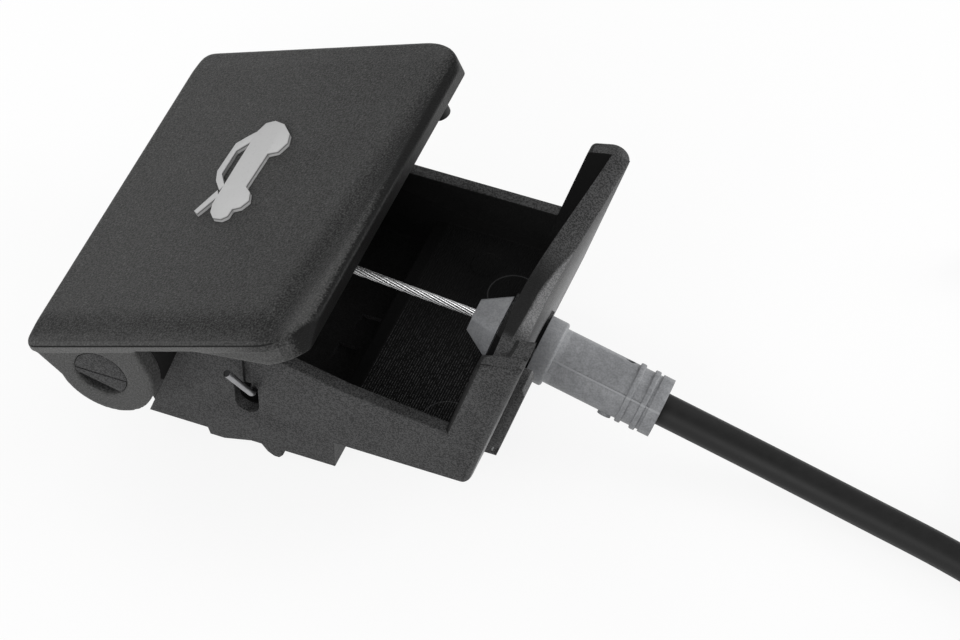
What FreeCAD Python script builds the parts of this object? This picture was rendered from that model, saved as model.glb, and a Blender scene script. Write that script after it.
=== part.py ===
import FreeCAD, Part
import math
import os

# Bonnet release of a car: a pull handle hinged on a tray-shaped housing, with its Bowden cable.
# Sizes are in millimetres. Every piece is drawn about the handle's pivot, which runs along Y:
# X goes from the pivot to the cable end of the tray, and Z goes up. Each piece is moved to the
# part's own frame only when it is written: there the origin is on the surface that the housing
# stands on, below the middle of the housing, its handle and the moulded end of the cable.

V = FreeCAD.Vector

# Where the pivot lies in the part's frame
pivot_height = 20.8
pivot_behind_origin = 35.0

# How far the handle stands open as it is stored
open_angle = 23.0

# Clearances
turning_gap = 0.05
snap_gap = 0.2
resting_gap = 0.3

# Housing: a tray with a deep half under the handle and a shallow half at the cable end
tray_width = 51.2
side_wall = 2.1
end_wall = 3.0
tray_floor = 1.8
deep_bottom = -18.2
shallow_bottom = -12.2
deep_end = 35.6
rear_foot = 2.7
rear_lean = 20.0
rear_wall_top = -5.6
near_wall_top = 4.0
near_wall_knee = 27.7
near_wall_bend = 38.5
near_wall_bend_top = 1.3
wall_top_at_ears = -1.0
far_wall_top = -0.75
bottom_corner = 2.0

# End wall and the two ears beside it, which lean outwards
lean = 16.5
outer_face_foot = 58.8
ear_foot = 54.6
ear_height = 17.1
ear_top_rise = 2.2
ear_width = 2.8
ear_round = 2.6
ear_inner_round = 1.2
ear_edge_round = 1.0
wall_bow_near = 1.6
wall_bow_middle = 2.3
wall_inner_bow_share = 1.6
saddle_radius = 90.0
saddle_depth = 4.0
saddle_middle = -4.0
return_width = 3.5

# Trunnions: D-shaped stubs that the handle's ears turn on, and the web that carries each
trunnion_radius = 4.5
trunnion_inset = 0.2
trunnion_cut = 2.2
trunnion_flat_tilt = 15.0
trunnion_groove = 0.35
web_wall = 2.2
web_reach = 14.0
web_radius = 4.3

# Slot in the near wall that the spring's leg comes out of, and the groove above it
slot_left = 18.6
slot_right = 22.8
slot_top = -4.3
slot_bottom = -10.8
groove_left = 20.4
groove_right = 21.8
groove_depth = 0.7

# Things under and behind the tray
foot_inset = 0.3
foot_width = 3.2
foot_round = 0.5
hook_foot = (22.2, 26.4)
pad_foot = (12.8, 22.0)
pad_foot_height = 1.9
tongue_width = 4.4
tongue_inset = 7.0
tongue_proud = 2.0
tongue_top = 6.0
ejector_radius = 2.6
ejector_depth = 0.15
ejector_x = 44.8
ejector_y = 17.1
recess_size = 3.4
recess_depth = 0.9
recess_places = ((28.2, -4.1), (29.4, 2.9))

# Handle: a shallow shell with a rolled finger lip and an ear at each side of the housing
handle_width = 70.2
handle_top = 7.0
handle_plate = 2.4
handle_skirt = 1.8
lip_wall = 3.2
handle_rear = -12.1
handle_ridge = 40.3
lip_end = 41.7
lip_brow = 5.8
lip_nose = 4.0
lip_under = 39.6
lip_bottom = 1.9
lip_rear = 33.5
skirt_start = 20.4
skirt_shallow = 5.0
handle_corner = 2.2
lip_corner = 9.0
handle_edge = 0.7
ear_plate = 3.7
ear_radius = 8.5
ear_shift = 0.6
ear_rear = -10.6

# Nipple of the inner wire in its fork under the handle
nipple_x = 16.2
nipple_z = -1.0
nipple_y = -3.2
nipple_radius = 2.4
nipple_length = 7.0
fork_gap = 3.4
fork_cheek = 1.9
fork_radius = 4.2

# Rubber buffers under the handle, over the tray's side walls
buffer_radius = 1.7
buffer_x = 37.2
buffer_peg = 1.0

# Raised pictogram on the handle
symbol_height = 0.75
symbol_shift = (0.4, -0.4)
symbol_sink = 0.2

# Return spring
spring_wire = 1.25
spring_mean_radius = 3.9
spring_whole_turns = 4
spring_stretches = 14
spring_coil_width = 6.3
spring_start = -20.3
spring_straight = 3.0
spring_bend = 1.2
spring_leg_end = 14.0
spring_slot_x = 20.9
spring_slot_z = -5.7
spring_tip = V(-2.7, -3.0, 7.2)
post_radius = 3.0
post_end = -13.2

# Moulded snap fitting that holds the cable in the end wall. Lengths along it start at the
# end wall's outer face.
cable_height = -5.8
collar_radius = 5.55
collar_length = 3.2
fitting_radius = 4.75
fitting_length = 22.3
bead_radius = 5.2
bead_width = 1.0
bead_round = 0.25
beads_from_end = (5.6, 3.0)
end_band_radius = 5.05
end_band_width = 2.0
neck_width = 7.0
neck_height = 6.8
neck_length = 6.9
barb_length = 4.6
barb_width = 8.6
barb_height = 8.2
barb_tip_width = 4.5
barb_tip_height = 4.3
barb_round = 0.9
mouth_radius = 1.6
mouth_inner_radius = 1.95
mouth_depth = 7.0
liner_radius = 0.9
parting_tilt = 42.0
vent_radius = 0.9
vent_place = 14.4
nub_radius = 1.15
nub_height = 0.45
seam_width = 0.35
seam_height = 0.15
boss_width = 9.4
boss_height = 8.2

# Inner wire and sheath
wire_radius = 0.75
wire_in_mouth = 4.0
wire_aim = 0.3
sheath_radius = 2.75

# Latch end of the cable
latch_fitting_radius = 4.0
latch_fitting_length = 14.0
latch_groove_radius = 3.2
latch_groove = (5.0, 8.0)
latch_wire_length = 14.0
latch_nipple_radius = 2.6
latch_nipple_length = 5.6

# Coil of the put-away length
coil_middle = V(140.6, 19.6, 0.0)
coil_outer_turn = 38.5
coil_inner_turn = 22.0
coil_layers = 2


def prism(points, start, end):
    """A solid whose outline lies in the XZ plane, from one Y to another."""
    corners = [V(x, start, z) for x, z in points]
    return Part.Face(Part.makePolygon(corners + corners[:1])).extrude(V(0, end - start, 0))


def block(x, y, z):
    """A box from three ranges."""
    return Part.makeBox(x[1] - x[0], y[1] - y[0], z[1] - z[0], V(x[0], y[0], z[0]))


def bar(x, z, radius, start, end):
    """A cylinder along Y."""
    return Part.makeCylinder(radius, end - start, V(x, start, z), V(0, 1, 0))


def rod(radius, start, end):
    """A cylinder along X."""
    return Part.makeCylinder(radius, end - start, V(start, 0, 0), V(1, 0, 0))


def mirrored(shape):
    """The same shape on the other side of the middle plane."""
    return shape.mirror(V(0, 0, 0), V(0, 1, 0))


def joined(shapes):
    """Solids that touch or overlap, as one."""
    return shapes[0].fuse(shapes[1:]).removeSplitter()


def edges_near(shape, test):
    """The edges whose middle passes a test."""
    found = []
    for edge in shape.Edges:
        middle = edge.valueAt((edge.FirstParameter + edge.LastParameter) / 2)
        if test(middle):
            found.append(edge)
    return found


def outer_face_x(z):
    """X of the end wall's outer face at a height, where the wall isn't bowed."""
    return outer_face_foot + (z - shallow_bottom) * math.tan(math.radians(lean))


def ear_edge_x(z):
    """X of the ears' front edge at a height."""
    return ear_foot + (z - wall_top_at_ears) * math.tan(math.radians(lean + 1.5))


def rear_x(z):
    """X of the near wall's rear edge at a height."""
    return rear_foot + (z - deep_bottom) * math.tan(math.radians(rear_lean))


half_width = tray_width / 2
trunnion_face = handle_width / 2 - trunnion_inset
inner_half = half_width - side_wall
ear_inner = half_width - ear_width
wall_run = end_wall / math.cos(math.radians(lean))
cable_start = V(outer_face_x(cable_height), 0, cable_height)
cable_tilt = FreeCAD.Rotation(V(0, 1, 0), lean)
cable_along = cable_tilt.multVec(V(1, 0, 0))
cable_up = cable_tilt.multVec(V(0, 0, 1))


def on_cable(shape):
    """Moves a shape drawn along X to the cable's axis in the end wall."""
    placed = shape.copy()
    placed.Placement = FreeCAD.Placement(cable_start, cable_tilt).multiply(placed.Placement)
    return placed


def opened(shape):
    """Turns a shape of the closed handle to the angle at which it is stored."""
    turned = shape.copy()
    turned.rotate(V(0, 0, 0), V(0, -1, 0), open_angle)
    return turned


# Housing

def ear_profile():
    top_end = outer_face_x(ear_height + ear_top_rise)
    return [
        (ear_edge_x(shallow_bottom + tray_floor), shallow_bottom),
        (ear_edge_x(ear_height), ear_height),
        (top_end, ear_height + ear_top_rise),
        (outer_face_x(shallow_bottom), shallow_bottom),
    ]


def ear(start, end, rounded):
    """One ear beside the end wall, with its top corners and its outer long edge rounded."""
    plate = prism(ear_profile(), start, end)
    corner_z = ear_height + ear_top_rise
    tips = edges_near(plate, lambda p: abs(p.z - corner_z) < 0.1 and abs(p.x - outer_face_x(corner_z)) < 0.1)
    plate = plate.makeFillet(rounded, tips)
    inner = edges_near(plate, lambda p: abs(p.z - ear_height) < 0.1
                       and abs(p.x - ear_edge_x(ear_height)) < 0.1)
    plate = plate.makeFillet(ear_inner_round, inner)
    side = start if start < 0 else end
    long_edges = edges_near(plate, lambda p: abs(p.y - side) < 0.01 and abs(p.x - outer_face_x(p.z)) < 0.01
                            and abs(p.z) < corner_z / 2)
    return plate.makeFillet(ear_edge_round, long_edges)


def end_wall_outline(z, bows):
    """A level outline of the end wall, bowed inwards by up to the sizes given, its inner face more."""
    near, middle = bows
    places = ((ear_inner + 0.4, 0.0), (12.0, middle * 0.45), (0.0, middle * 0.9), (-6.0, middle),
              (-13.0, near * 0.3 + middle * 0.7), (-ear_inner - 0.4, near))
    outer = [V(outer_face_x(z) - bow, y, z) for y, bow in places]
    inner = [V(outer_face_x(z) - wall_run - bow * wall_inner_bow_share, y, z) for y, bow in reversed(places)]
    faces = []
    for points in (outer, inner):
        curve = Part.BSplineCurve()
        curve.interpolate(points)
        faces.append(curve.toShape())
    closers = [Part.makeLine(outer[-1], inner[0]), Part.makeLine(inner[-1], outer[0])]
    return Part.Wire([faces[0], closers[0], faces[1], closers[1]])


def end_wall_solid():
    top = ear_height + ear_top_rise + 2
    wall = Part.makeLoft([end_wall_outline(shallow_bottom, (0.0, 0.0)),
                          end_wall_outline(top, (wall_bow_near, wall_bow_middle))], True, True)
    # The ears' top plane is the wall's top, and a wide round dip lowers its middle.
    rise = math.atan2(ear_top_rise, outer_face_x(ear_height + ear_top_rise) - ear_edge_x(ear_height))
    over = block((0, 40), (-half_width, half_width), (0, 20))
    over.rotate(V(0, 0, 0), V(0, 1, 0), -math.degrees(rise))
    over.translate(V(ear_edge_x(ear_height), 0, ear_height))
    across = cable_along
    lowest = V(outer_face_x(ear_height), saddle_middle, ear_height) - cable_up * saddle_depth
    dip = Part.makeCylinder(saddle_radius, 30, lowest + cable_up * saddle_radius - across * 15, across)
    return wall.cut(over).cut(dip)


def side_wall_profiles():
    near = [
        (rear_x(deep_bottom), deep_bottom),
        (rear_x(near_wall_top), near_wall_top),
        (near_wall_knee, near_wall_top),
        (near_wall_bend, near_wall_bend_top),
        (ear_foot + 1, wall_top_at_ears),
        (outer_face_x(shallow_bottom) - 1, shallow_bottom),
        (deep_end, shallow_bottom),
        (deep_end, deep_bottom),
    ]
    far = [near[0], (rear_x(far_wall_top), far_wall_top), (ear_foot + 1, far_wall_top)] + near[5:]
    return near, far


def tray_solid():
    near, far = side_wall_profiles()
    floor_top = shallow_bottom + tray_floor
    deep_floor_top = deep_bottom + tray_floor
    rear = [
        (rear_x(deep_bottom), deep_bottom),
        (rear_x(rear_wall_top), rear_wall_top),
        (rear_x(rear_wall_top) + side_wall, rear_wall_top),
        (rear_x(deep_bottom) + side_wall, deep_bottom),
    ]
    return joined([
        prism(near, -half_width, -inner_half),
        prism(far, inner_half, half_width),
        prism(rear, -inner_half, inner_half),
        block((rear_foot, deep_end), (-inner_half, inner_half), (deep_bottom, deep_floor_top)),
        block((deep_end - side_wall, deep_end), (-inner_half, inner_half), (deep_bottom, floor_top)),
        block((deep_end - side_wall, outer_face_x(shallow_bottom) - 1), (-inner_half, inner_half),
              (shallow_bottom, floor_top)),
    ])


def near_return():
    """The near ear's return along the outer face of the end wall."""
    top = ear_height + ear_top_rise
    level = [(outer_face_x(shallow_bottom) - wall_run, shallow_bottom),
             (outer_face_x(top - 0.8) - wall_run, top - 0.8),
             (outer_face_x(top), top),
             (outer_face_x(shallow_bottom), shallow_bottom)]
    return prism(level, -ear_inner, -ear_inner + return_width)


def web_and_trunnion():
    """The near side's web and the stub that the handle turns on, flat below and grooved at its end."""
    web = prism([(0, web_radius), (web_reach, web_radius * 0.6), (web_reach, deep_bottom),
                 (rear_x(deep_bottom), deep_bottom), (-web_radius * 0.7, -web_radius * 0.72)],
                -inner_half, -inner_half + web_wall)
    round_end = bar(0, 0, web_radius, -inner_half, -inner_half + web_wall)
    stub = bar(0, 0, trunnion_radius, -trunnion_face, -inner_half)
    reach = 2 * trunnion_radius
    flat = block((-reach, reach), (-trunnion_face - 1, -half_width - 1), (-reach, -trunnion_cut))
    flat.rotate(V(0, 0, 0), V(0, 1, 0), trunnion_flat_tilt)
    groove = block((-reach, reach), (-trunnion_face - 1, -trunnion_face + trunnion_groove),
                   (-trunnion_groove, 0))
    return joined([web, round_end, stub.cut(flat).cut(groove)])


def slot_tool():
    """The slot in the near wall, round at its lower end."""
    half = (slot_right - slot_left) / 2
    low = slot_bottom + half
    return joined([block((slot_left, slot_right), (-half_width - 1, -inner_half + 1), (low, slot_top)),
                   bar(slot_left + half, low, half, -half_width - 1, -inner_half + 1)])


def feet():
    """A hook-nosed clip foot and a low pad under the near edge of the deep half."""
    front, back = -half_width + foot_inset, -half_width + foot_inset + foot_width
    nose = prism([(hook_foot[0], deep_bottom), (hook_foot[0] + 1.3, -pivot_height + 0.7),
                  (hook_foot[0] + 2.4, -pivot_height), (hook_foot[1] - 0.9, -pivot_height),
                  (hook_foot[1] - 0.2, -pivot_height + 0.9), (hook_foot[1] - 0.5, deep_bottom)],
                 front, back)
    tips = edges_near(nose, lambda p: p.z < -pivot_height + 0.01 and front + 0.1 < p.y < back - 0.1)
    nose = nose.makeFillet(foot_round, tips)
    pad = prism([(pad_foot[0], deep_bottom), (pad_foot[0] + 0.5, deep_bottom - pad_foot_height),
                 (pad_foot[0] + 3, deep_bottom - pad_foot_height), (pad_foot[1], deep_bottom)],
                front, back)
    return [nose, pad]


def tongue():
    """The locating tongue outside the end wall, with a notch at its lower end."""
    start = -half_width + tongue_inset
    low, high = shallow_bottom, tongue_top
    strip = prism([(outer_face_x(low) - 1, low), (outer_face_x(high) - 1, high),
                   (outer_face_x(high) + tongue_proud * 0.6, high),
                   (outer_face_x(high - 1.5) + tongue_proud, high - 1.5),
                   (outer_face_x(low) + tongue_proud, low)], start, start + tongue_width)
    notch = bar(outer_face_x(low) + tongue_proud, low + 1.2, 0.8, start - 1, start + 2.2)
    return strip.cut(notch)


def ferrule_boss():
    """Thickening inside the end wall, which brings its hole up to the fitting's neck."""
    deep = neck_length - snap_gap
    shape = block((-deep, 0), (-boss_width / 2, boss_width / 2), (-boss_height / 2, boss_height / 2))
    return on_cable(shape)


def bottom_corner_tool():
    """What rounds the corner where the end wall's outer face meets the bottom."""
    middle_z = shallow_bottom + bottom_corner
    middle_x = outer_face_x(middle_z) - bottom_corner / math.cos(math.radians(lean))
    touch = V(middle_x, 0, middle_z) + V(cable_along.x, 0, cable_along.z) * bottom_corner
    wedge = prism([(middle_x, middle_z), (touch.x, touch.z), (touch.x + 2, touch.z - 0.5),
                   (touch.x + 2, shallow_bottom - 1), (middle_x, shallow_bottom - 1)], -40, 40)
    return wedge.cut(bar(middle_x, middle_z, bottom_corner, -41, 41))


def housing():
    floor_top = shallow_bottom + tray_floor
    deep_floor_top = deep_bottom + tray_floor
    carrier = web_and_trunnion()
    post = bar(0, 0, post_radius, -inner_half + web_wall - 1, post_end)
    shell = joined([tray_solid(), end_wall_solid(), near_return(), ear(-half_width, -ear_inner, 0.6),
                    ear(ear_inner, half_width, ear_round)])
    shell = shell.cut(bottom_corner_tool())
    pieces = [shell, tongue(), ferrule_boss(), carrier, mirrored(carrier), post]
    for foot in feet():
        pieces += [foot, mirrored(foot)]
    body = joined(pieces)
    hole = block((-neck_length - 2, 4), (-neck_width / 2 - snap_gap, neck_width / 2 + snap_gap),
                 (-neck_height / 2 - snap_gap, neck_height / 2 + snap_gap))
    cuts = [on_cable(hole), slot_tool(),
            block((groove_left, groove_right), (-half_width - 1, -half_width + groove_depth),
                  (slot_top - 1, near_wall_top + 1)),
            Part.makeCylinder(ejector_radius, 1, V(ejector_x, ejector_y, floor_top - ejector_depth))]
    reach = recess_size / 2
    for x, y in recess_places:
        cuts.append(block((x - reach, x + reach), (y - reach, y + reach),
                          (deep_floor_top - recess_depth, deep_floor_top + 1)))
    for cut in cuts:
        body = body.cut(cut)
    return body.removeSplitter()


# Handle

def handle_profile():
    """The closed handle seen from the side: face, rolled lip and shallow rear part."""
    return [
        (handle_rear, handle_top), (handle_ridge, handle_top), (lip_end, lip_brow), (lip_end, lip_nose),
        (lip_under, lip_bottom), (lip_rear, lip_bottom),
        (skirt_start, skirt_shallow), (handle_rear + 0.8, skirt_shallow), (handle_rear, skirt_shallow + 0.6),
    ]


def plan(start, end, half, rear_round, front_round, low, high):
    """A plate seen from above, with its rear and front corners rounded."""
    shape = block((start, end), (-half, half), (low, high))
    middle = (low + high) / 2
    rear = edges_near(shape, lambda p: abs(p.z - middle) < 0.01 and abs(p.x - start) < 0.01)
    front = edges_near(shape, lambda p: abs(p.z - middle) < 0.01 and abs(p.x - end) < 0.01)
    if rear_round:
        shape = shape.makeFillet(rear_round, rear)
        front = edges_near(shape, lambda p: abs(p.z - middle) < 0.01 and abs(p.x - end) < 0.01
                           and abs(abs(p.y) - half) < 0.01)
    return shape.makeFillet(front_round, front)


def handle_shell():
    half = handle_width / 2
    profile = prism(handle_profile(), -half, half)
    outside = plan(handle_rear, lip_end, half, handle_corner, lip_corner, lip_bottom - 1, handle_top + 1)
    shell = profile.common(outside)
    front = lip_end - lip_wall
    hollow = plan(skirt_start - 1, front, half - handle_skirt, 0, lip_corner - handle_skirt,
                  lip_bottom - 2, handle_top - handle_plate)
    shell = shell.cut(hollow)
    rim = edges_near(shell, lambda p: p.z > handle_top - 0.01 and p.x < handle_ridge - 0.1)
    return shell.makeFillet(handle_edge, rim)


def handle_ear():
    """The near ear, with the round hole that turns on the housing's trunnion."""
    half = handle_width / 2
    round_part = bar(ear_shift, 0, ear_radius, -half, -half + ear_plate)
    around = ear_radius + 1
    upper = block((ear_shift - around, ear_shift + around), (-half - 1, -half + ear_plate + 1), (0, around))
    top = handle_top - handle_plate / 2
    straight = prism([(ear_shift - ear_radius, 0), (ear_shift + ear_radius, 0),
                      (ear_shift + ear_radius, top), (ear_rear, top)], -half, -half + ear_plate)
    plate = joined([round_part.cut(upper), straight])
    return plate.cut(bar(0, 0, trunnion_radius + turning_gap, -half - 1, -half + ear_plate + 1))


def nipple_fork():
    """Two cheeks under the handle that hold the wire's nipple."""
    cheeks = []
    for side in (-1, 1):
        inner = nipple_y + side * fork_gap / 2
        outer = inner + side * fork_cheek
        low, high = min(inner, outer), max(inner, outer)
        cheeks.append(joined([
            bar(nipple_x, nipple_z, fork_radius, low, high),
            block((nipple_x - fork_radius, nipple_x + fork_radius), (low, high),
                  (nipple_z, handle_top - handle_plate / 2)),
        ]))
    seat = bar(nipple_x, nipple_z, nipple_radius + turning_gap,
               nipple_y - nipple_length, nipple_y + nipple_length)
    return [cheek.cut(seat) for cheek in cheeks]


def buffer_bottom(wall_top):
    """How low a buffer reaches in the closed handle, a little above the wall that it lands on."""
    return wall_top + resting_gap


def near_wall_top_at(x):
    share = (x - near_wall_bend) / (ear_foot + 1 - near_wall_bend)
    return near_wall_bend_top + share * (wall_top_at_ears - near_wall_bend_top)


def buffers():
    """The two rubber buffers, near and far, in the closed handle."""
    middle = half_width - side_wall / 2
    made = []
    for y, wall_top in ((-middle, near_wall_top_at(buffer_x - buffer_radius)), (middle, far_wall_top)):
        low = buffer_bottom(wall_top)
        high = handle_top - handle_plate
        peg = Part.makeCylinder(buffer_radius * 0.55, buffer_peg + high - low, V(buffer_x, y, low))
        pad = Part.makeCylinder(buffer_radius, high - low, V(buffer_x, y, low))
        pad = pad.makeFillet(0.5, edges_near(pad, lambda p: abs(p.z - low) < 0.01))
        made.append(pad.fuse(peg).removeSplitter())
    return made


def handle():
    body = joined([handle_shell(), handle_ear(), mirrored(handle_ear())] + nipple_fork())
    for pad in buffers():
        body = body.cut(pad)
    return body.cut(symbol_solid())


# The pictogram, a car in outline with its bonnet up, seen from above: its wheels point to the lip.
symbol_body = ((10.0, 13.3), (10.8, 15.3), (12.4, 15.8), (14.6, 14.9), (16.8, 12.5), (17.4, 10.4),
               (16.5, 8.3), (14.7, 7.9), (14.3, 0.1), (15.8, -1.3), (16.5, -3.2), (15.6, -4.7),
               (14.2, -5.1), (14.1, -6.7), (13.1, -7.4), (11.4, -7.1), (10.3, -5.8), (9.7, -3.8), (9.8, 5.8))
symbol_roof = ((10.1, 13.4), (8.7, 12.2), (7.1, 10.6), (6.7, 4.0), (7.6, 1.7), (9.4, -0.6), (9.8, 0.6),
               (7.9, 3.4), (8.0, 8.9), (9.9, 10.9))
symbol_bonnet = ((9.1, -0.6), (6.9, -5.4), (7.7, -6.0), (9.9, -1.9))


def symbol_solid():
    """Car body, roof line and raised bonnet as one thin piece, let into the handle's face."""
    parts = []
    for outline in (symbol_body, symbol_roof, symbol_bonnet):
        corners = [V(x + symbol_shift[0], y + symbol_shift[1], handle_top - symbol_sink) for x, y in outline]
        face = Part.Face(Part.makePolygon(corners + corners[:1]))
        parts.append(face.extrude(V(0, 0, symbol_sink + symbol_height)))
    return joined(parts)


# Return spring

def bent_rod(points, bend, radius):
    """A round rod along straight runs joined by tangent arcs of one radius."""
    edges, here = [], points[0]
    for before, corner, after in zip(points, points[1:], points[2:]):
        into, out = (corner - before).normalize(), (after - corner).normalize()
        half_turn = into.getAngle(out) / 2
        short = bend * math.tan(half_turn)
        start, end = corner - into * short, corner + out * short
        middle_way = (out - into).normalize()
        middle = corner + middle_way * (bend / math.cos(half_turn) - bend)
        edges += [Part.makeLine(here, start), Part.Arc(start, middle, end).toShape()]
        here = end
    edges.append(Part.makeLine(here, points[-1]))
    path = Part.Wire(edges)
    heading = (points[1] - points[0]).normalize()
    ring = Part.Wire(Part.makeCircle(radius, points[0], heading))
    return path.makePipeShell([ring], True, False)


def opened_vector(vector):
    """A point of the closed handle, as the handle stands open."""
    return FreeCAD.Rotation(V(0, -1, 0), open_angle).multVec(vector)


def return_spring():
    """The coil round its post, a leg out through the slot, and a leg under the handle."""
    slot = V(spring_slot_x, 0, spring_slot_z)
    # The outer leg leaves the coil's lower side, and the inner leg its upper side.
    reach = math.hypot(slot.x, slot.z)
    start_angle = math.degrees(math.acos(spring_mean_radius / reach) - math.atan2(slot.z, slot.x))
    turned = 360 * spring_whole_turns + 270 - open_angle - start_angle
    pitch = spring_coil_width * 360 / turned
    slope = math.atan2(pitch, 2 * math.pi * spring_mean_radius)

    def on_coil(angle, y):
        turn = math.radians(angle)
        place = V(math.cos(turn) * spring_mean_radius, y, -math.sin(turn) * spring_mean_radius)
        way = V(-math.sin(turn) * math.cos(slope), math.sin(slope), -math.cos(turn) * math.cos(slope))
        return place, way

    first, first_way = on_coil(start_angle, spring_start)
    last, last_way = on_coil(start_angle + turned, spring_start + spring_coil_width)
    # The coil is swept in short stretches, each a part of a turn, that meet face to face.
    stretches = []
    share = 1 / spring_stretches
    for number in range(spring_stretches):
        angle = start_angle + turned * share * number
        y = spring_start + spring_coil_width * share * number
        path = Part.makeHelix(pitch, spring_coil_width * share, spring_mean_radius)
        path.rotate(V(0, 0, 0), V(1, 0, 0), -90)
        path.rotate(V(0, 0, 0), V(0, 1, 0), angle)
        path.translate(V(0, y, 0))
        place, way = on_coil(angle, y)
        ring = Part.Wire(Part.makeCircle(spring_wire / 2, place, way))
        stretches.append(Part.Wire(path).makePipeShell([ring], True, True))
    inside = V(slot.x, spring_start, slot.z)
    outside = V(slot.x, -half_width - spring_wire / 2 - resting_gap, slot.z)
    outer = bent_rod([first, first - first_way * spring_straight, inside, outside, outside + spring_tip],
                     spring_bend, spring_wire / 2)
    inner = Part.makeCylinder(spring_wire / 2, spring_leg_end, last, last_way)
    return stretches[0].fuse(stretches[1:] + [outer, inner])


# Cable fitting in the end wall

def rounded_block(start, end, width, height, radius):
    shape = block((start, end), (-width / 2, width / 2), (-height / 2, height / 2))
    return shape.makeFillet(radius, edges_near(shape, lambda p: abs(p.x - (start + end) / 2) < 0.01))


def rounded_outline(x, width, height):
    solid = rounded_block(x, x + 1, width, height, barb_round)
    for face in solid.Faces:
        if abs(face.CenterOfMass.x - x) < 0.01:
            return face.OuterWire
    return None


def parted(shape):
    """Turns a shape about the fitting's axis to the tilt of its mould's parting plane."""
    shape.rotate(V(0, 0, 0), V(1, 0, 0), -parting_tilt)
    return shape


def cable_fitting():
    tip = -neck_length - barb_length
    barb = Part.makeLoft([rounded_outline(tip, barb_tip_width, barb_tip_height),
                          rounded_outline(-neck_length, barb_width, barb_height)], True, True)
    neck = rounded_block(-neck_length - 0.5, 0.5, neck_width, neck_height, 0.5)
    collar = rod(collar_radius, 0, collar_length)
    collar = collar.makeFillet(0.5, edges_near(collar, lambda p: abs(p.x - collar_length) < 0.01))
    body = rod(fitting_radius, collar_length - 0.5, fitting_length)
    end_band = rod(end_band_radius, fitting_length - end_band_width, fitting_length)
    pieces = [barb, neck, collar, body, end_band]
    for place in (fitting_length - back for back in beads_from_end):
        start, end = place - bead_width / 2, place + bead_width / 2
        bead = rod(bead_radius, start, end)
        rims = edges_near(bead, lambda p: p.x < start + 0.01 or p.x > end - 0.01)
        pieces.append(bead.makeFillet(bead_round, rims))
    nub = Part.makeCylinder(nub_radius, fitting_radius + nub_height, V(vent_place, 0, 0), V(0, 0, -1))
    seam_reach = fitting_radius + seam_height
    seam = block((collar_length - 0.5, fitting_length - 1.0), (-seam_reach, seam_reach),
                 (-seam_width / 2, seam_width / 2))
    pieces += [parted(nub), parted(seam)]
    whole = joined(pieces)
    mouth = Part.makeCone(mouth_radius, mouth_inner_radius, mouth_depth, V(tip, 0, 0), V(1, 0, 0))
    bore = rod(liner_radius, tip + mouth_depth - 0.5, fitting_length + 1)
    vent = Part.makeCylinder(vent_radius, 10, V(vent_place, 0, fitting_radius - 1.2), V(0, 0, 1))
    return on_cable(whole.cut(mouth.fuse([bore, parted(vent)])))


# Inner wire at the handle

def wire_line():
    """Start and end of the straight wire: at its nipple, and inside the fitting's mouth."""
    nipple = opened_vector(V(nipple_x, 0, nipple_z)) + V(0, nipple_y, 0)
    mouth = cable_start - cable_along * (neck_length + barb_length) + cable_up * wire_aim
    heading = (mouth - nipple).normalize()
    return nipple, mouth + heading * wire_in_mouth, heading


def handle_nipple():
    nipple, end, heading = wire_line()
    body = bar(nipple.x, nipple.z, nipple_radius, nipple.y - nipple_length / 2, nipple.y + nipple_length / 2)
    hole = Part.makeCylinder(wire_radius, nipple_radius * 3, nipple, heading)
    return body.cut(hole)


def handle_wire():
    nipple, end, heading = wire_line()
    return Part.makeCylinder(wire_radius, (end - nipple).Length, nipple, heading)


# Sheath. The route is in the part's own frame, and its points are chosen by hand.
sheath_route = [
    (47.08, 0.0, 8.67), (59.1, 0.0, 5.1), (72.1, -1.7, 3.4), (85.1, -4.2, 2.75), (97.1, -6.9, 2.75),
    (108.4, -10.3, 2.75), (119.2, -14.1, 2.75), (129.34, -17.22, 2.75),
]
tail_route = [
    (140.6, 58.1, 8.25), (133.9, 58.8, 7.7), (127.5, 59.2, 6.4), (121.3, 59.2, 5.3), (115.3, 58.8, 5.1),
]


def tube(points, radius):
    """A tube along straight runs joined by arcs as large as their runs allow."""
    route = [V(*p) for p in points]
    edges, here, radii = [], route[0], []
    for before, corner, after in zip(route, route[1:], route[2:]):
        into, out = corner - before, after - corner
        half_turn = into.getAngle(out) / 2
        reach = 0.45 * min(into.Length, out.Length)
        bend = reach / math.tan(half_turn)
        radii.append(round(bend, 1))
        into.normalize()
        out.normalize()
        start, end = corner - into * reach, corner + out * reach
        middle = corner + (out - into).normalize() * (bend / math.cos(half_turn) - bend)
        edges += [Part.makeLine(here, start), Part.Arc(start, middle, end).toShape()]
        here = end
    edges.append(Part.makeLine(here, route[-1]))
    path = Part.Wire(edges)
    ring = Part.Wire(Part.makeCircle(radius, route[0], (route[1] - route[0]).normalize()))
    solid = path.makePipeShell([ring], True, False)
    expected = math.pi * radius ** 2 * path.Length
    print("tube length", round(path.Length, 1), "radii", radii,
          "volume share", round(solid.Volume / expected, 4))
    return solid


def coil_solid():
    """The outer shape of the coil: a ring as high as its layers of turns."""
    height = coil_layers * 2 * sheath_radius
    ring = Part.makeCylinder(coil_outer_turn + sheath_radius, height, coil_middle)
    ring = ring.cut(Part.makeCylinder(coil_inner_turn - sheath_radius, height + 2, coil_middle - V(0, 0, 1)))
    rims = edges_near(ring, lambda p: abs(p.z) < 0.01 or abs(p.z - height) < 0.01)
    return ring.makeFillet(sheath_radius * 0.9, rims)


# Latch end

def latch_frame():
    """Where the sheath ends, and the way the cable points there."""
    last, before = V(*tail_route[-1]), V(*tail_route[-2])
    return last, (last - before).normalize()


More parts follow.
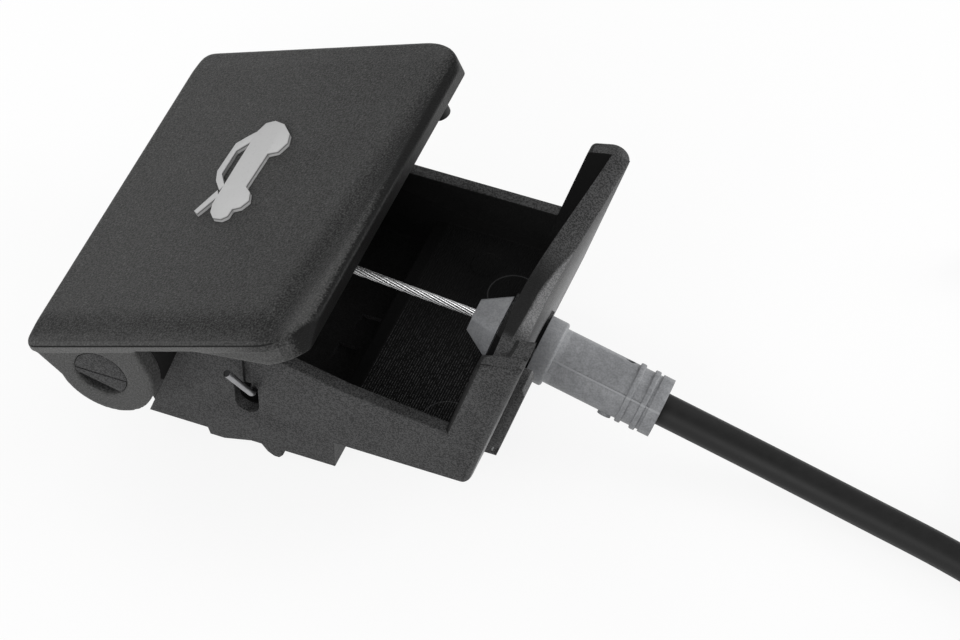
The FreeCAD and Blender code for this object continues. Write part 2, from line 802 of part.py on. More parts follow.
def latch_fitting():
    start, heading = latch_frame()
    body = Part.makeCylinder(latch_fitting_radius, latch_fitting_length, start, heading)
    groove = Part.makeCylinder(latch_fitting_radius + 1, latch_groove[1] - latch_groove[0],
                               start + heading * latch_groove[0], heading)
    core = Part.makeCylinder(latch_groove_radius, latch_groove[1] - latch_groove[0],
                             start + heading * latch_groove[0], heading)
    bore = Part.makeCylinder(liner_radius, latch_fitting_length + 2, start - heading, heading)
    return body.cut(groove.cut(core)).cut(bore)


def latch_wire():
    start, heading = latch_frame()
    inside = latch_fitting_length / 2
    return Part.makeCylinder(wire_radius, latch_fitting_length - inside + latch_wire_length,
                             start + heading * inside, heading)


def latch_nipple():
    start, heading = latch_frame()
    middle = start + heading * (latch_fitting_length + latch_wire_length)
    across = V(0, 0, 1).cross(heading).normalize()
    body = Part.makeCylinder(latch_nipple_radius, latch_nipple_length,
                             middle - across * latch_nipple_length / 2, across)
    hole = Part.makeCylinder(wire_radius, latch_nipple_radius * 4,
                             middle - heading * latch_nipple_radius * 2, heading)
    return body.cut(hole)


os.makedirs("parts", exist_ok=True)
to_row_frame = V(-pivot_behind_origin, 0, pivot_height)


def write(node, shape, in_row_frame=False):
    placed = shape.copy()
    if not in_row_frame:
        placed.translate(to_row_frame)
    placed.exportStep("parts/" + node + ".step")
    box = placed.BoundBox
    print(node, "valid" if placed.isValid() else "NOT VALID", "solids", len(placed.Solids),
          [round(v, 1) for v in (box.XMin, box.YMin, box.ZMin, box.XMax, box.YMax, box.ZMax)])


near_buffer, far_buffer = buffers()
write("housing", housing())
write("handle", opened(handle()))
write("bonnet_symbol", opened(symbol_solid()))
write("stop_buffer_near", opened(near_buffer))
write("stop_buffer_far", opened(far_buffer))
write("return_spring", return_spring())
write("cable_fitting", cable_fitting())
write("handle_nipple", handle_nipple())
write("inner_wire_handle_end", handle_wire())
write("sheath_run", tube(sheath_route, sheath_radius), True)
write("sheath_coil", coil_solid(), True)
write("sheath_tail", tube(tail_route, sheath_radius), True)
write("latch_fitting", latch_fitting(), True)
write("inner_wire_latch_end", latch_wire(), True)
write("latch_nipple", latch_nipple(), True)
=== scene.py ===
import math

import bpy
from mathutils import Matrix, Vector


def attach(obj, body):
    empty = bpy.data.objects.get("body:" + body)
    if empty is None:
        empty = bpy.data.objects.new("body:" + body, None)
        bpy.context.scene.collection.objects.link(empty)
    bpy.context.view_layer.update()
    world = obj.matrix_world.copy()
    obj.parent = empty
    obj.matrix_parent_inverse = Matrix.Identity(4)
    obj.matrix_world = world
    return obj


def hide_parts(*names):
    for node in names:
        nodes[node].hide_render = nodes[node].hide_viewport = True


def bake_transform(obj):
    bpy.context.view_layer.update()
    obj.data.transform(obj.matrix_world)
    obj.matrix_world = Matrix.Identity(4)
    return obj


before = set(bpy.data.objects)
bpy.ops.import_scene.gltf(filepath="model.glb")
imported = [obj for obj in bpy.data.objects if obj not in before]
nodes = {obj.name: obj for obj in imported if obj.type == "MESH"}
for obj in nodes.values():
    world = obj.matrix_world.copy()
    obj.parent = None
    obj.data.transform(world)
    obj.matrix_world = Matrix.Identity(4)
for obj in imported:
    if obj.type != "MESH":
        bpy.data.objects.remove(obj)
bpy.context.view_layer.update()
MM = 0.001


# The camera looks down on the pull from in front of its near side, as the photographer did.
# Its place, height and slight tilt were found from the outlines of the housing and the handle.
camera_place = Vector((0.1761, -0.3812, 0.4951))
camera_turn = math.radians(22.82)
camera_height = math.radians(49.12)
camera_tilt = math.radians(-1.24)
bpy.ops.object.camera_add()
camera = bpy.context.object
camera.name = "camera"
camera.data.sensor_width = 36.0
camera.data.lens = 146.98
camera.matrix_world = (
    Matrix.Translation(camera_place)
    @ Matrix.Rotation(camera_turn, 4, "Z")
    @ Matrix.Rotation(math.pi / 2 - camera_height, 4, "X")
    @ Matrix.Rotation(camera_tilt, 4, "Z")
)
bpy.context.scene.camera = camera


# The sheath: a steel-wound Bowden sheath in a smooth black extruded jacket, 5.5 mm thick. It leaves
# the grey fitting, drops to the floor and runs out of sight, where the length that isn't shown is
# wound in two layers of turns, and ends in the moulding of the latch end.
class Value:
    """A number that changes over a surface, so that shader sums can be written as sums."""

    def __init__(self, finish, socket):
        self.finish = finish
        self.socket = socket

    def __add__(self, other):
        return self.finish.sum("ADD", self, other)

    def __sub__(self, other):
        return self.finish.sum("SUBTRACT", self, other)

    def __rsub__(self, other):
        return self.finish.sum("SUBTRACT", other, self)

    def __mul__(self, other):
        return self.finish.sum("MULTIPLY", self, other)

    def __gt__(self, other):
        return self.finish.sum("GREATER_THAN", self, other)

    def __lt__(self, other):
        return self.finish.sum("LESS_THAN", self, other)

    __radd__ = __add__
    __rmul__ = __mul__


class Finish:
    """A surface finish being mixed: a material, and the ways to add to its nodes."""

    def __init__(self, name, roughness=0.5, metallic=0.0, gloss=0.5):
        self.material = bpy.data.materials.new(name)
        self.material.use_nodes = True
        self.tree = self.material.node_tree
        self.shader = self.tree.nodes["Principled BSDF"]
        self.shader.inputs["Roughness"].default_value = roughness
        self.shader.inputs["Metallic"].default_value = metallic
        self.shader.inputs["Specular IOR Level"].default_value = gloss
        coordinates = self.add("ShaderNodeTexCoord")
        self.place = coordinates.outputs["Object"]
        self.facing = coordinates.outputs["Normal"]

    def add(self, kind, settings=(), *parts, **named_parts):
        """A node with its settings, and what goes into its sockets, in their order or by name."""
        node = self.tree.nodes.new(kind)
        for key, value in dict(settings).items():
            setattr(node, key, value)
        for socket, part in zip(node.inputs, parts):
            self.feed(socket, part)
        for key, part in named_parts.items():
            self.feed(node.inputs[key], part)
        return node

    def feed(self, socket, value):
        value = value.socket if isinstance(value, Value) else value
        if isinstance(value, bpy.types.NodeSocket):
            self.tree.links.new(value, socket)
        else:
            socket.default_value = value

    def sum(self, operation, *parts):
        node = self.add("ShaderNodeMath", {"operation": operation}, *parts)
        return Value(self, node.outputs[0])

    def step(self, value, start, end):
        """0 before start and 1 after end, smooth between them; start may be the higher one."""
        node = self.add("ShaderNodeMapRange", {"interpolation_type": "SMOOTHSTEP"},
                        value, start, end, 0.0, 1.0)
        return Value(self, node.outputs[0])

    def axes(self, place=None):
        node = self.add("ShaderNodeSeparateXYZ", Vector=self.place if place is None else place)
        return [Value(self, socket) for socket in node.outputs]

    def turned(self, angle, centre):
        """Object coordinates turned about Y, so that a pattern can follow a tilted piece."""
        moved = self.add("ShaderNodeVectorMath", {"operation": "SUBTRACT"}, self.place, centre)
        turn = self.add("ShaderNodeVectorRotate", {"rotation_type": "Y_AXIS"},
                        Vector=moved.outputs[0], Angle=angle)
        return turn.outputs[0]

    def noise(self, size, detail=2.0, rough=0.5):
        """Soft random cells about size metres across."""
        node = self.add("ShaderNodeTexNoise", Vector=self.place,
                        Scale=1 / size, Detail=detail, Roughness=rough)
        return Value(self, node.outputs["Fac"])

    def shade(self, amount, dark, light):
        """A colour between two, which the amount mixes."""
        node = self.add("ShaderNodeMix", {"data_type": "RGBA"}, amount)
        # This node's sockets for colours come after those for numbers and vectors.
        self.feed(node.inputs[6], (*dark, 1))
        self.feed(node.inputs[7], (*light, 1))
        self.feed(self.shader.inputs["Base Color"], node.outputs[2])

    def rough(self, amount):
        self.feed(self.shader.inputs["Roughness"], amount)

    def relief(self, height, depth, edge=None):
        """Bumps of that depth in metres, on edges that are rounded by edge metres."""
        bump = self.add("ShaderNodeBump", Height=height, Distance=depth, Strength=1.0)
        if edge:
            soft = self.add("ShaderNodeBevel", {"samples": 6}, Radius=edge)
            self.tree.links.new(soft.outputs[0], bump.inputs["Normal"])
        self.feed(self.shader.inputs["Normal"], bump.outputs[0])


def paint(piece, finish):
    piece.data.materials.clear()
    piece.data.materials.append(finish.material)


def soft_step(value, start, end):
    """0 before start and 1 after end, smooth between them; start may be the higher one."""
    share = min(1.0, max(0.0, (value - start) / (end - start)))
    return share * share * (3 - 2 * share)


sheath_radius = 2.75 * MM
sheath_exit = (0.04708, 0.0, 0.00867)
sheath_run = [
    sheath_exit, (0.0591, 0.0, 0.0051), (0.0721, -0.0017, 0.0034), (0.0851, -0.0042, 0.00275),
    (0.0971, -0.0069, 0.00275), (0.1084, -0.0103, 0.00275), (0.1192, -0.0141, 0.00275),
    (0.12934, -0.01722, 0.00275),
]
sheath_tail = [
    (0.1406, 0.0581, 0.00825), (0.1339, 0.0588, 0.0077), (0.1275, 0.0592, 0.0064),
    (0.1213, 0.0592, 0.0053), (0.1153, 0.0588, 0.0051),
]
coil_middle = (0.1406, 0.0196)
coil_outer = 38.5 * MM
coil_inner = 22.0 * MM
turns_per_layer = 3
steps_per_turn = 16
first_angle = math.atan2(sheath_run[-1][1] - coil_middle[1], sheath_run[-1][0] - coil_middle[0])
# The lower layer winds inwards, the sheath climbs by its thickness, and the upper layer winds out.
layer = 2 * math.pi * turns_per_layer
climb = math.pi / 2 - first_angle
wind = 2 * math.pi / steps_per_turn
coil_points = []
wound = wind
while wound < 2 * layer + climb - wind / 2:
    inwards = min(1.0, wound / layer)
    outwards = max(0.0, (wound - layer - climb) / layer)
    radius = coil_outer + (coil_inner - coil_outer) * (inwards - outwards)
    height = sheath_radius * (1 + 2 * soft_step(wound, layer, layer + climb))
    # The spline cuts inside its points by this much.
    radius /= math.cos(wind / 2)
    angle = first_angle + wound
    coil_points.append((coil_middle[0] + radius * math.cos(angle),
                        coil_middle[1] + radius * math.sin(angle), height))
    wound += wind

sheath_line = bpy.data.curves.new("sheath", "CURVE")
sheath_line.dimensions = "3D"
sheath_line.bevel_depth = sheath_radius
sheath_line.bevel_resolution = 6
sheath_line.use_fill_caps = True
sheath_line.resolution_u = 5
points = sheath_run + coil_points + sheath_tail
spline = sheath_line.splines.new("NURBS")
spline.points.add(len(points) - 1)
for point, place in zip(spline.points, points):
    point.co = (*place, 1)
spline.order_u = 3
spline.use_endpoint_u = True
sheath = bpy.data.objects.new("sheath", sheath_line)
bpy.context.scene.collection.objects.link(sheath)

jacket = Finish("black_jacket", gloss=0.3)
streaks = jacket.noise(1.6 * MM, detail=3)
speckle = jacket.noise(0.18 * MM)
jacket.shade(streaks, (0.003, 0.003, 0.003), (0.010, 0.010, 0.010))
jacket.rough(streaks * 0.12 + 0.46)
jacket.relief(speckle, 0.012 * MM)
sheath.data.materials.append(jacket.material)
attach(sheath, "base")
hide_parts("sheath_run", "sheath_coil", "sheath_tail")


# The inner wire at the handle: bare steel, 1.5 mm thick, nine strands in a right-hand lay over a core
# whose near-black colour is painted shade between the strands. It runs from the nipple in the
# handle's fork into the mouth of the grey fitting.
def pick(piece):
    """Makes a piece the only selected one, and the active one."""
    bpy.ops.object.select_all(action="DESELECT")
    piece.select_set(True)
    bpy.context.view_layer.objects.active = piece


def apply_modifiers(piece):
    pick(piece)
    for modifier in list(piece.modifiers):
        bpy.ops.object.modifier_apply(modifier=modifier.name)


def settle(piece):
    """Puts a piece's place into its mesh."""
    pick(piece)
    bpy.ops.object.transform_apply(location=True, rotation=True, scale=True)


steel = Finish("bare_strand_steel", metallic=1.0)
tarnish = steel.noise(0.5 * MM, detail=3)
steel.shade(tarnish, (0.60, 0.60, 0.60), (0.85, 0.85, 0.86))
steel.rough(tarnish * 0.1 + 0.22)
# The core's near-black colour is painted shade in the gaps between the strands.
strand_gap_shade = Finish("painted_shade_between_strands", 0.6)
strand_gap_shade.shade(strand_gap_shade.noise(0.4 * MM), (0.004, 0.004, 0.004), (0.012, 0.011, 0.010))
strand_count = 9
strand_radius = 0.155 * MM
strand_lay = 20.0 * MM
strand_sides = 8
steps_per_lay = 60
wire_radius = 0.75 * MM


def stranded_wire(name, start, end, body):
    """A round rope of strands from start to end, over a core painted near black as the shade between them."""
    length = (end - start).length
    bpy.ops.mesh.primitive_circle_add(vertices=strand_sides, radius=strand_radius, fill_type="NOTHING",
                                      location=(wire_radius - strand_radius, 0, 0))
    wire = bpy.context.object
    wire.name = name
    settle(wire)
    bpy.ops.object.mode_set(mode="EDIT")
    for number in range(1, strand_count):
        bpy.ops.mesh.select_all(action="DESELECT")
        bpy.ops.object.mode_set(mode="OBJECT")
        for vertex in wire.data.vertices[:strand_sides]:
            vertex.select = True
        bpy.ops.object.mode_set(mode="EDIT")
        bpy.ops.mesh.duplicate()
        turn = Matrix.Rotation(2 * math.pi * number / strand_count, 3, "Z")
        bpy.ops.object.mode_set(mode="OBJECT")
        for vertex in wire.data.vertices:
            if vertex.select:
                vertex.co = turn @ vertex.co
        bpy.ops.object.mode_set(mode="EDIT")
    bpy.ops.object.mode_set(mode="OBJECT")
    screw = wire.modifiers.new("lay", "SCREW")
    screw.angle = 2 * math.pi * length / strand_lay
    screw.screw_offset = length
    screw.steps = round(steps_per_lay * length / strand_lay)
    apply_modifiers(wire)
    bpy.ops.object.mode_set(mode="EDIT")
    bpy.ops.mesh.select_all(action="SELECT")
    bpy.ops.mesh.fill_holes(sides=strand_sides)
    bpy.ops.mesh.normals_make_consistent(inside=False)
    bpy.ops.object.mode_set(mode="OBJECT")
    bpy.ops.mesh.primitive_cylinder_add(vertices=20, radius=wire_radius - 1.5 * strand_radius,
                                        depth=length, location=(0, 0, length / 2))
    core = bpy.context.object
    paint(core, strand_gap_shade)
    paint(wire, steel)
    pick(wire)
    core.select_set(True)
    bpy.ops.object.join()
    wire.rotation_mode = "QUATERNION"
    wire.rotation_quaternion = (end - start).to_track_quat("Z", "Y")
    wire.location = start
    settle(wire)
    bpy.ops.object.shade_smooth()
    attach(wire, body)
    return wire


open_angle = math.radians(23.0)
pivot = Vector((-0.035, 0.0, 0.0208))
opened = Matrix.Translation(pivot) @ Matrix.Rotation(-open_angle, 4, "Y")
handle_nipple_place = opened @ Vector((0.0162, -0.0032, -0.0010))
wall_lean = math.radians(16.5)
cable_start = Vector((0.025696, 0.0, 0.015))
cable_along = Vector((math.cos(wall_lean), 0.0, -math.sin(wall_lean)))
cable_up = Vector((math.sin(wall_lean), 0.0, math.cos(wall_lean)))
mouth_inset = 11.5 * MM
mouth_rise = 0.3 * MM
wire_in_mouth = 4.0 * MM
mouth_place = cable_start - cable_along * mouth_inset + cable_up * mouth_rise
wire_way = (mouth_place - handle_nipple_place).normalized()
near_wire = stranded_wire("near_wire", handle_nipple_place, mouth_place + wire_way * wire_in_mouth,
                          "handle_wire")
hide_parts("inner_wire_handle_end")


# Small castings and mouldings keep the shape that they are built with: their mould edges are
# softened, and their round faces smoothed.
same_point = 0.002 * MM
flat_angle = math.radians(0.6)
sharp_angle = math.radians(38)


def moulding(node, move=None, flatten=True):
    """A copy of a piece as it is built, moved, with its doubled points and flat faces merged."""
    piece = bpy.data.objects.new(node + "_moulding", nodes[node].data.copy())
    bpy.context.scene.collection.objects.link(piece)
    if move:
        piece.data.transform(move)
    pick(piece)
    bpy.ops.object.mode_set(mode="EDIT")
    bpy.ops.mesh.select_all(action="SELECT")
    bpy.ops.mesh.remove_doubles(threshold=same_point)
    if flatten:
        bpy.ops.mesh.dissolve_limited(angle_limit=flat_angle)
    bpy.ops.object.mode_set(mode="OBJECT")
    return piece


def softened(node, edge, body, smooth=32):
    """A moulded piece with its hard edges rounded by edge metres."""
    piece = moulding(node)
    if edge:
        bevel = piece.modifiers.new("edges", "BEVEL")
        bevel.width = edge
        bevel.segments = 2
        bevel.limit_method = "ANGLE"
        bevel.angle_limit = sharp_angle
        apply_modifiers(piece)
    bpy.ops.object.shade_smooth_by_angle(angle=math.radians(smooth))
    if body:
        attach(piece, body)
    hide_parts(node)
    return piece


zinc = Finish("cast_zinc", metallic=1.0)
dull = zinc.noise(0.8 * MM, detail=4)
zinc.shade(dull, (0.30, 0.30, 0.31), (0.48, 0.48, 0.49))
zinc.rough(dull * 0.2 + 0.35)
zinc.relief(zinc.noise(0.15 * MM), 0.01 * MM)
near_nipple = softened("handle_nipple", 0.15 * MM, "handle_wire")
paint(near_nipple, zinc)


# The latch end: a grey moulded end fitting with a groove for its bracket, the bare inner wire, and
# a small barrel nipple cast on the wire's end.
grey = Finish("grey_fitting_plastic")
cloudy = grey.noise(2.5 * MM, detail=4)
fine = grey.noise(0.16 * MM)
grey.shade(cloudy, (0.165, 0.170, 0.178), (0.215, 0.221, 0.230))
grey.rough(cloudy * 0.15 + 0.42)
grey.relief(fine, 0.012 * MM, edge=0.15 * MM)
latch_fitting = softened("latch_fitting", 0.2 * MM, "base")
paint(latch_fitting, grey)
tail_way = (Vector(sheath_tail[-1]) - Vector(sheath_tail[-2])).normalized()
far_wire_inset = 7.0 * MM
far_wire_length = 21.0 * MM
far_wire_start = Vector(sheath_tail[-1]) + tail_way * far_wire_inset
far_wire = stranded_wire("far_wire", far_wire_start, far_wire_start + tail_way * far_wire_length,
                         "latch_wire")
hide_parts("inner_wire_latch_end")
far_nipple = softened("latch_nipple", 0.15 * MM, "latch_wire")
paint(far_nipple, zinc)


# The cable fitting: a grey snap moulding in one piece. Its wedge is pushed through the square hole
# until it snaps in behind the wall, and its collar seats outside.
seam_turn = math.radians(42.0)
sanded = Finish("sanded_fitting_plastic")
fitting_x, fitting_y, fitting_z = sanded.axes(sanded.turned(-wall_lean, cable_start))
from_seam = sanded.sum("ABSOLUTE", fitting_y * math.sin(seam_turn) + fitting_z * math.cos(seam_turn))
# The seam's flash is painted as a lighter line: a painted highlight on the raised seam.
seam_flash_highlight = (from_seam < 0.16 * MM) * (fitting_x > 2 * MM)
mottle = sanded.noise(1.1 * MM, detail=4, rough=0.6)
sand = sanded.noise(0.3 * MM, detail=2)
# Painted light: the upper half and the collar by the wall are lightened, as the lamps fall on them.
upper = sanded.step(fitting_z, -4 * MM, 4 * MM)
wall_end = sanded.step(fitting_x, 4.3 * MM, 3.9 * MM)
sanded.shade(sanded.step(mottle, 0.3, 0.7) * 0.25 + sanded.step(sand, 0.35, 0.65) * 0.25 + seam_flash_highlight * 0.5
             + upper * 0.36 + wall_end * (0.38 - upper * 0.16), (0.095, 0.098, 0.104), (0.310, 0.316, 0.328))
sanded.rough(mottle * 0.15 + 0.42)
sanded.relief(sand + mottle, 0.03 * MM, edge=0.2 * MM)
cable_fitting = softened("cable_fitting", 0.25 * MM, "base")
paint(cable_fitting, sanded)


# The housing: one black moulding with a finely spark-eroded outer skin, its colour painted with
# shade inside the tray and on faces turned from the lamps, and with light on the end wall's outer face.
# The floor of its shallow half has fine tool marks, painted with highlights along them, and two ejector
# rings, and the top of its end wall has a saddle painted with shade and a brow outside it painted
# with a paler highlight.
black = Finish("black_housing_plastic", gloss=0.2)
x, y, z = black.axes()
facing_x, facing_y, facing_z = black.axes(black.facing)
lean_height = 8.6 * MM
inner_side = 23.62 * MM
inner_floor = 8.7 * MM
inner_end = 20.8 * MM
between_sides = black.sum("ABSOLUTE", y) < inner_side
before_end = x - (z - lean_height) * math.tan(wall_lean) < inner_end
on_top = (z > 13 * MM) * (facing_z > 0.2)
# Painted shade: these masks darken the inside of the tray, the far wall's inner face, the deep floor and the
# faces turned inwards or back, where shade falls.
inside = between_sides * (z > inner_floor) * before_end * (1.0 - on_top)
far_inside = (facing_y < -0.5) * (y > 15 * MM) * (z > 2.5 * MM) * before_end
deep_floor = (facing_z > 0.5) * (z < 8.8 * MM) * (x < 1 * MM) * between_sides
facing_in = (facing_x < -0.3) * (x > 12 * MM) * (z > inner_floor)
# Painted light: the end wall's outer face is lightened, more towards its foot, for the light thrown back from
# the floor.
facing_out = (facing_x > 0.8) * (x > 22 * MM) * black.step(z, 34 * MM, 14 * MM)
facing_back = (facing_x < -0.3) * (x < -20 * MM)
# Painted highlight on the paler brow along the end wall's outer top edge, and painted shade on the saddle
# inside it.
brow = black.step(y, -7 * MM, 14 * MM) * (3.3 * MM) + 28.0 * MM
outer_brow = (on_top * black.step(x - brow, 0.0, 0.5 * MM)
              * black.step(y, 24 * MM, 6 * MM) * black.step(y, -17 * MM, -11 * MM))
saddle = (on_top * (x > 15 * MM) * (x < brow)
          * black.step(y, 8 * MM, -5 * MM) * black.step(y, -17.5 * MM, -15.5 * MM))
# All the painted shade together, which darkens the colour below.
shaded = (inside + far_inside + facing_back + facing_in + saddle) * 0.95 + deep_floor * 0.8
dark = black.sum("MINIMUM", shaded, 0.97)
patches = black.noise(7 * MM, detail=4)
specks = black.noise(0.24 * MM, detail=2.0)
dust = black.step(black.noise(0.35 * MM, detail=2), 0.66, 0.74)
grain_tone = black.step(specks, 0.40, 0.60)
tone = patches * 0.09 + dust * 0.09 + grain_tone * 0.125 + outer_brow * (grain_tone * 0.12 + 0.24)
tone = (tone + facing_out * (grain_tone * 0.2 + 0.38)) * (1.0 - dark)
black.rough(patches * 0.15 + 0.44 + inside * 0.3)
on_floor = black.step(z, 10.7 * MM, 10.45 * MM) * (x > 0.6 * MM) * inside
groove_pitch = 0.42 * MM
grooves = black.sum("SINE", x * (2 * math.pi / groove_pitch))
# Painted highlights along the ridges of the floor's tool marks.
lit_grooves = black.step(grooves, 0.2, 1.0) * black.step(y, 14 * MM, -14 * MM) * grain_tone
ejector_radius = 4.2 * MM
ejector_marks = 0.0
for mark_x, mark_y in ((16.4 * MM, 12.6 * MM), (16.4 * MM, -16.4 * MM)):
    reach = black.sum("POWER", black.sum("POWER", x - mark_x, 2.0) + black.sum("POWER", y - mark_y, 2.0), 0.5)
    ejector_marks = ejector_marks + (black.sum("ABSOLUTE", reach - ejector_radius) < 0.1 * MM)
tone = tone + on_floor * (lit_grooves * 0.40 + ejector_marks * 0.18 + 0.012)
black.shade(tone, (0.003, 0.003, 0.003), (0.350, 0.350, 0.354))
black.relief(specks * (1.6 - inside * 1.2) + grooves * on_floor * 0.5, 0.06 * MM, edge=0.25 * MM)
housing = softened("housing", 0.22 * MM, "base")
paint(housing, black)


# The return spring: 1.25 mm oiled spring wire, coiled round its post. One leg comes out through the
# slot in the near wall, and the other pushes up under the handle.
spring_steel = Finish("oiled_spring_steel", metallic=1.0)
oil = spring_steel.noise(0.9 * MM, detail=4)
spring_steel.shade(oil, (0.20, 0.20, 0.21), (0.42, 0.42, 0.43))
spring_steel.rough(oil * 0.2 + 0.30)
spring = softened("return_spring", 0, None, smooth=50)
# The outer leg leans on the slot's upper corner.
for vertex in spring.data.vertices:
    in_slot = soft_step(vertex.co.y, -20.6 * MM, -23.8 * MM)
    beyond = soft_step(vertex.co.y, -25.4 * MM, -27.2 * MM)
    vertex.co.x += (1.05 * in_slot + 0.4 * beyond) * MM
    vertex.co.z += (0.65 * in_slot + 0.4 * beyond) * MM
paint(spring, spring_steel)
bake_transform(spring)


# The handle: a black moulded shell with a soft crowned face, a rolled lip for the fingers, and an
# ear at each side. Its skin is a fine leather-like grain.
handle = moulding("handle", opened.inverted(), flatten=False)
skin = handle.modifiers.new("skin", "REMESH")
skin.mode = "VOXEL"
skin.voxel_size = 0.36 * MM
skin.use_smooth_shade = True
apply_modifiers(handle)

half_width = 35.1 * MM
face_height = 7.0 * MM
valley_near = Vector((34.6, -30.6)) * MM
valley_far = Vector((41.0, 24.6)) * MM
valley_width = 2.4 * MM
side_fall = 0.4 * MM
face_foot = face_height - 2.4 * MM
nose_brow = Vector((41.7, 0, 6.0)) * MM
nose_foot = Vector((39.6, 0, 1.9)) * MM

for vertex in handle.data.vertices:
    place = vertex.co
    if place.z > face_foot:
        on_face = soft_step(place.z, face_foot, face_height - 0.8 * MM)
        side = soft_step(abs(place.y), half_width - 6.0 * MM, half_width)
        along = (place.y - valley_near.y) / (valley_far.y - valley_near.y)
        valley_x = valley_near.x + along * (valley_far.x - valley_near.x)
        valley_depth = (0.80 - 0.50 * min(1.0, max(0.0, along))) * MM
        valley = math.exp(-((place.x - valley_x) / valley_width) ** 2)
        fade = soft_step(abs(place.y), half_width, half_width - 3.0 * MM)
        place.z -= (side_fall * side + valley_depth * valley * fade) * on_face
    if place.x > nose_foot.x and nose_foot.z < place.z < nose_brow.z:
        share = (place.z - nose_foot.z) / (nose_brow.z - nose_foot.z)
        place.x = min(place.x, nose_foot.x + share * (nose_brow.x - nose_foot.x))
smoothing = handle.modifiers.new("smoothing", "SMOOTH")
smoothing.factor = 0.5
smoothing.iterations = 4
apply_modifiers(handle)
handle.data.transform(opened)
bpy.ops.object.shade_smooth()

grain = Finish("grained_handle_plastic", gloss=0.2)
cells = grain.noise(0.30 * MM, detail=2.0)
wear = grain.noise(9 * MM, detail=5, rough=0.6)
handle_x, handle_y, handle_z = grain.axes(grain.turned(open_angle, pivot))
at_side = grain.sum("ABSOLUTE", handle_y) > half_width - 0.8 * MM
parting = (grain.sum("ABSOLUTE", handle_z - 6.15 * MM) < 0.13 * MM) * at_side
# Painted light: the sides are lightened, and the near skirt more, away from the lip, as they face the lamps.
skirt = (handle_z < 6.0 * MM) * (handle_z > 4.8 * MM) * at_side * grain.step(handle_x, 34 * MM, 22 * MM)
# Painted shade on the lip's steep nose.
nose = grain.step(handle_z, 6.9 * MM, 5.9 * MM) * grain.step(handle_x, 37.5 * MM, 40.0 * MM)
valley_slant = (valley_far.x - valley_near.x) / (valley_far.y - valley_near.y)
off_valley = handle_x - (handle_y - valley_near.y) * valley_slant
# Painted shade in the valley before the lip and along the near side of the face.
in_valley = grain.step(grain.sum("ABSOLUTE", off_valley - valley_near.x), 4.5 * MM, 0.5 * MM)
in_side = (grain.step(grain.sum("ABSOLUTE", handle_y + 30.5 * MM), 4.0 * MM, 0.5 * MM)
           * (handle_x < 36 * MM))
upper_side = handle_z > 5.0 * MM
painted_hollow_shade = grain.sum("MAXIMUM", in_valley, in_side) * upper_side
# Painted shade that darkens the face towards the lip.
fall = grain.step(handle_x, -5 * MM, 36 * MM) * upper_side
# Painted highlight on the lip beyond the valley.
lip = grain.step(off_valley - valley_near.x, 2.0 * MM, 4.5 * MM) * upper_side
glint = grain.step(cells, 0.66, 0.72)
# The tone holds the grain, random wear, glints and the dark parting line, with the painted light and shade
# above.
tone = (wear * 0.15 + grain.step(cells, 0.34, 0.66) * 0.24 + glint * 0.25 + at_side * 0.12 + skirt * 0.30
        + lip * 0.10 - nose * 0.6 - parting * 0.6 - painted_hollow_shade * 0.11 - fall * 0.08 + 0.09)
grain.shade(tone, (0.002, 0.002, 0.002), (0.160, 0.160, 0.158))
grain.rough(wear * 0.2 + 0.42)
grain.relief(cells, 0.16 * MM)
paint(handle, grain)
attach(handle, "pull_handle")
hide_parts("handle")


# The pictogram: a car with its bonnet up, moulded a little proud of the face and printed silver.
silver = Finish("silver_print")
print_wear = silver.noise(0.5 * MM, detail=3)
print_height = silver.axes(silver.turned(open_angle, pivot))[2]
# Painted shade: a dark band round the sides of the raised print, where it stands proud of the face.
painted_side_shade = (print_height > 7.36 * MM) * (print_height < 7.60 * MM)
silver.shade(print_wear * (1.0 - painted_side_shade) - painted_side_shade + 0.6, (0.18, 0.18, 0.18), (0.50, 0.50, 0.50))
silver.relief(silver.noise(0.3 * MM), 0.03 * MM, edge=0.1 * MM)
symbol = softened("bonnet_symbol", 0.08 * MM, "pull_handle")
paint(symbol, silver)


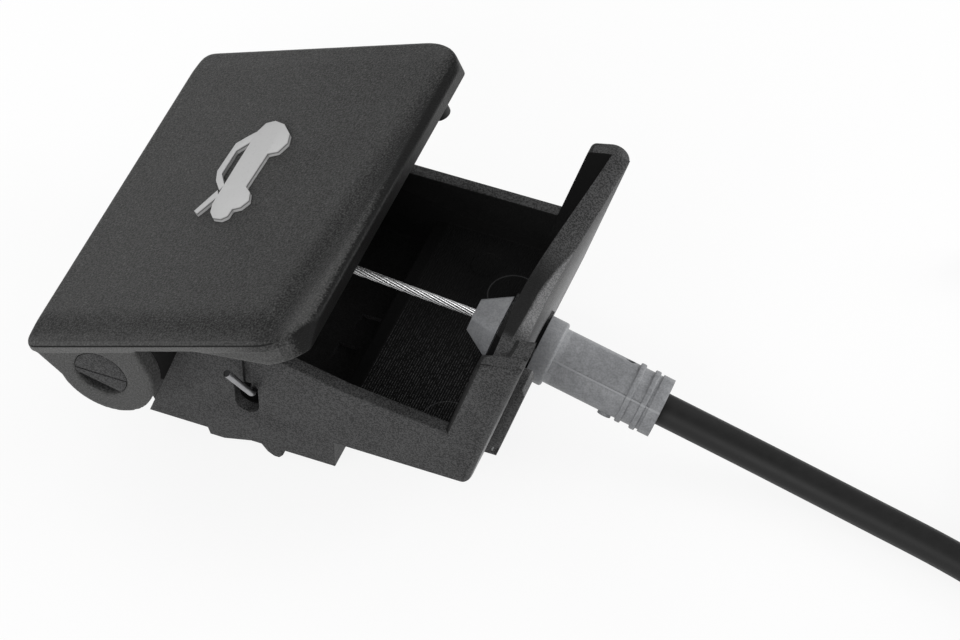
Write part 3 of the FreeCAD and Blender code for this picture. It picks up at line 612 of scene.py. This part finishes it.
# The buffers: soft rubber pegs pressed into the handle's underside over the tray's side walls.
rubber = Finish("buffer_rubber", 0.75)
rubber.shade(rubber.noise(0.6 * MM, detail=3), (0.008, 0.008, 0.008), (0.016, 0.016, 0.016))
rubber.relief(rubber.noise(0.12 * MM), 0.01 * MM)
for node in ("stop_buffer_near", "stop_buffer_far"):
    buffer = softened(node, 0, "pull_handle", smooth=50)
    paint(buffer, rubber)


# The studio: a pale floor that the camera sees almost white, soft light from all round, and three
# soft lamps, above the far left, in front and at the right.
bpy.ops.mesh.primitive_plane_add(size=6.0, location=(0, 0, -0.00005))
floor = bpy.context.object
floor.name = "floor"
settle(floor)
floor_finish = Finish("pale_floor", 0.9)
floor_finish.shader.inputs["Base Color"].default_value = (0.80, 0.80, 0.80, 1)
seen = floor_finish.add("ShaderNodeLightPath")
glow = floor_finish.add("ShaderNodeEmission", Color=(1, 1, 1, 1), Strength=1.02)
glow_share = 0.86
seen_by = floor_finish.sum("MAXIMUM", seen.outputs["Is Camera Ray"], seen.outputs["Is Glossy Ray"])
mixed = floor_finish.add("ShaderNodeMixShader", (), seen_by * glow_share,
                         floor_finish.shader.outputs[0], glow.outputs[0])
output = floor_finish.tree.nodes["Material Output"]
floor_finish.feed(output.inputs["Surface"], mixed.outputs[0])
paint(floor, floor_finish)

world = bpy.data.worlds.new("studio")
bpy.context.scene.world = world
world.use_nodes = True
background = world.node_tree.nodes["Background"]
background.inputs["Color"].default_value = (1, 1, 1, 1)
background.inputs["Strength"].default_value = 0.46


def soft_lamp(name, place, aim, size, power):
    bpy.ops.object.light_add(type="AREA", location=place)
    lamp = bpy.context.object
    lamp.name = name
    lamp.data.size = size
    lamp.data.energy = power
    lamp.rotation_mode = "QUATERNION"
    lamp.rotation_quaternion = (Vector(aim) - Vector(place)).to_track_quat("-Z", "Y")


soft_lamp("top_lamp", (-0.25, 0.14, 0.32), (-0.02, 0.0, 0.03), 0.25, 0.45)
soft_lamp("front_lamp", (-0.10, -0.75, 0.40), (0.0, 0.0, 0.02), 0.5, 3.2)
soft_lamp("right_lamp", (0.55, 0.35, 0.25), (0.0, 0.0, 0.02), 0.4, 3.0)

bpy.context.scene.view_settings.view_transform = "Standard"
